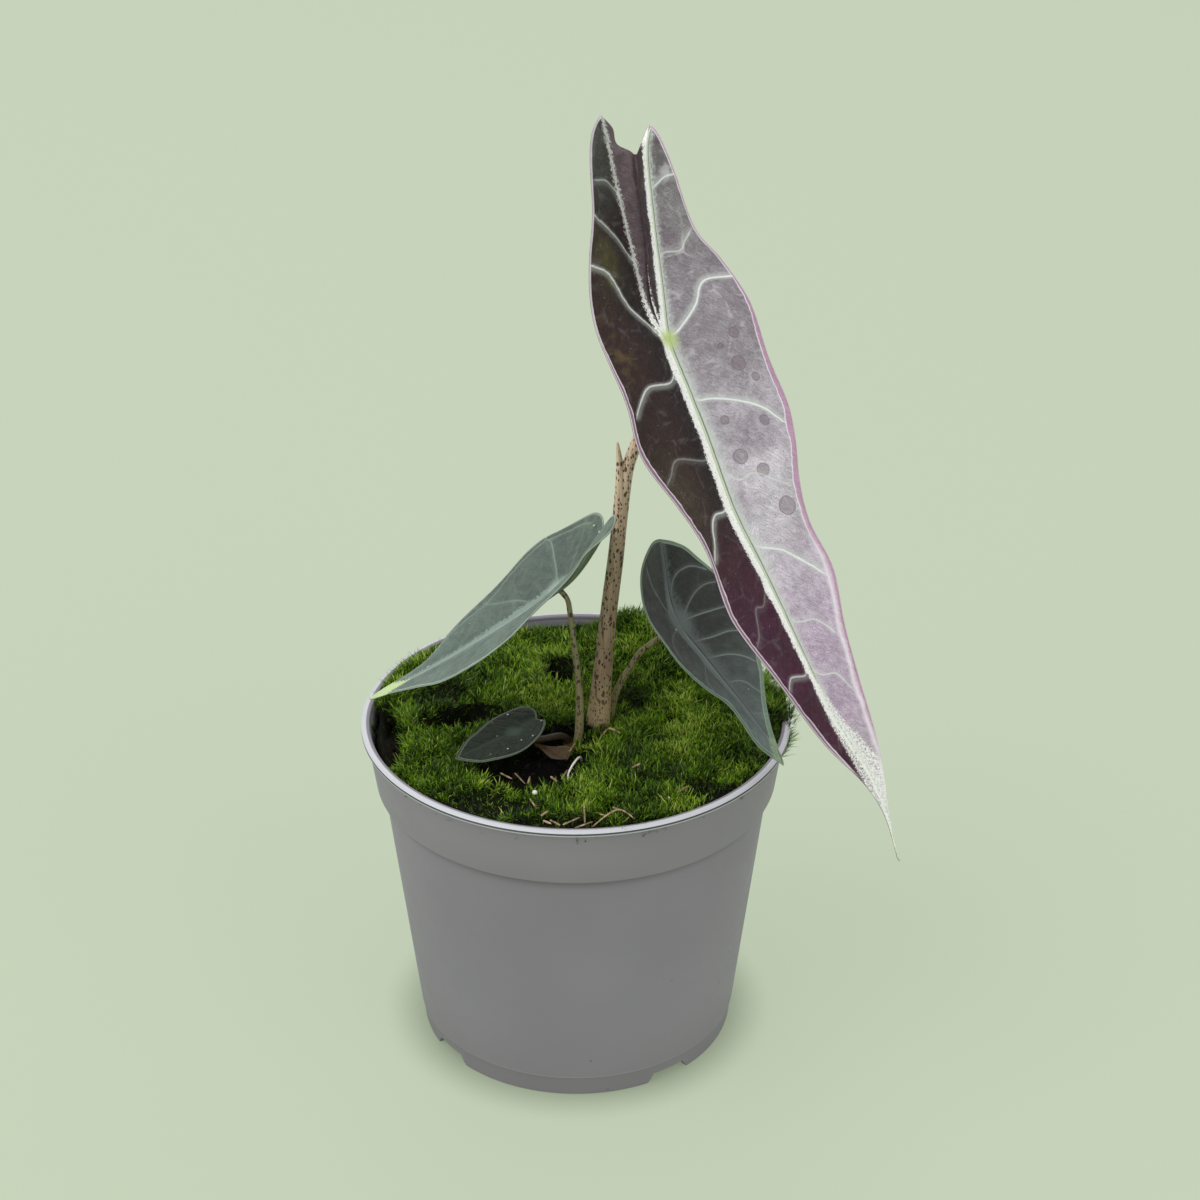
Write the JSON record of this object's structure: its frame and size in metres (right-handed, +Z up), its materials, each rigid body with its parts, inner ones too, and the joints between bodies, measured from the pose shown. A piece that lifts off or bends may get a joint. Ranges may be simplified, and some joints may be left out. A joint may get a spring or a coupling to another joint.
{
  "type": "potted alocasia longiloba",
  "caption": "Young alocasia with one long arrow-shaped leaf and smaller leaves on thin stalks, growing through moss in a round grey plant pot.",
  "frame": {"origin": "on the pot's axis, on the underside of the low hub in the middle of the pot's floor, 1.2 mm above the surface the foot ring stands on", "axes": "+Z up along the pot's axis; the pictured front faces -Y; +X is to the right of the picture, where the long leaf hangs out"},
  "size_m": [0.1457, 0.1205, 0.2678],
  "materials": {
    "pot_plastic": "matt grey injection-moulded plastic, the lip a little shinier",
    "soil": "damp dark brown potting mix",
    "moss": "living green moss, fine upright shoots",
    "root_skin": "pale brown root skin",
    "petiole_skin": "olive to brown stalk skin with dark speckles",
    "blade_mauve": "satin leaf, grey-mauve above with pale veins, wine red below",
    "blade_green": "satin grey-green leaf with pale veins",
    "blade_dark": "very dark green young leaf",
    "dry_leaf": "dry brown papery leaf"
  },
  "bodies": {
    "root": {"pot": "pot_plastic", "soil": "soil", "moss": "moss", "rhizome": "root_skin", "petiole_main": "petiole_skin", "petiole_left": "petiole_skin", "petiole_right": "petiole_skin", "petiole_small": "petiole_skin", "blade_main": "blade_mauve", "blade_left": "blade_green", "blade_right": "blade_green", "blade_small": "blade_dark", "scale_leaf_dry": "dry_leaf"}
  },
  "joints": []
}
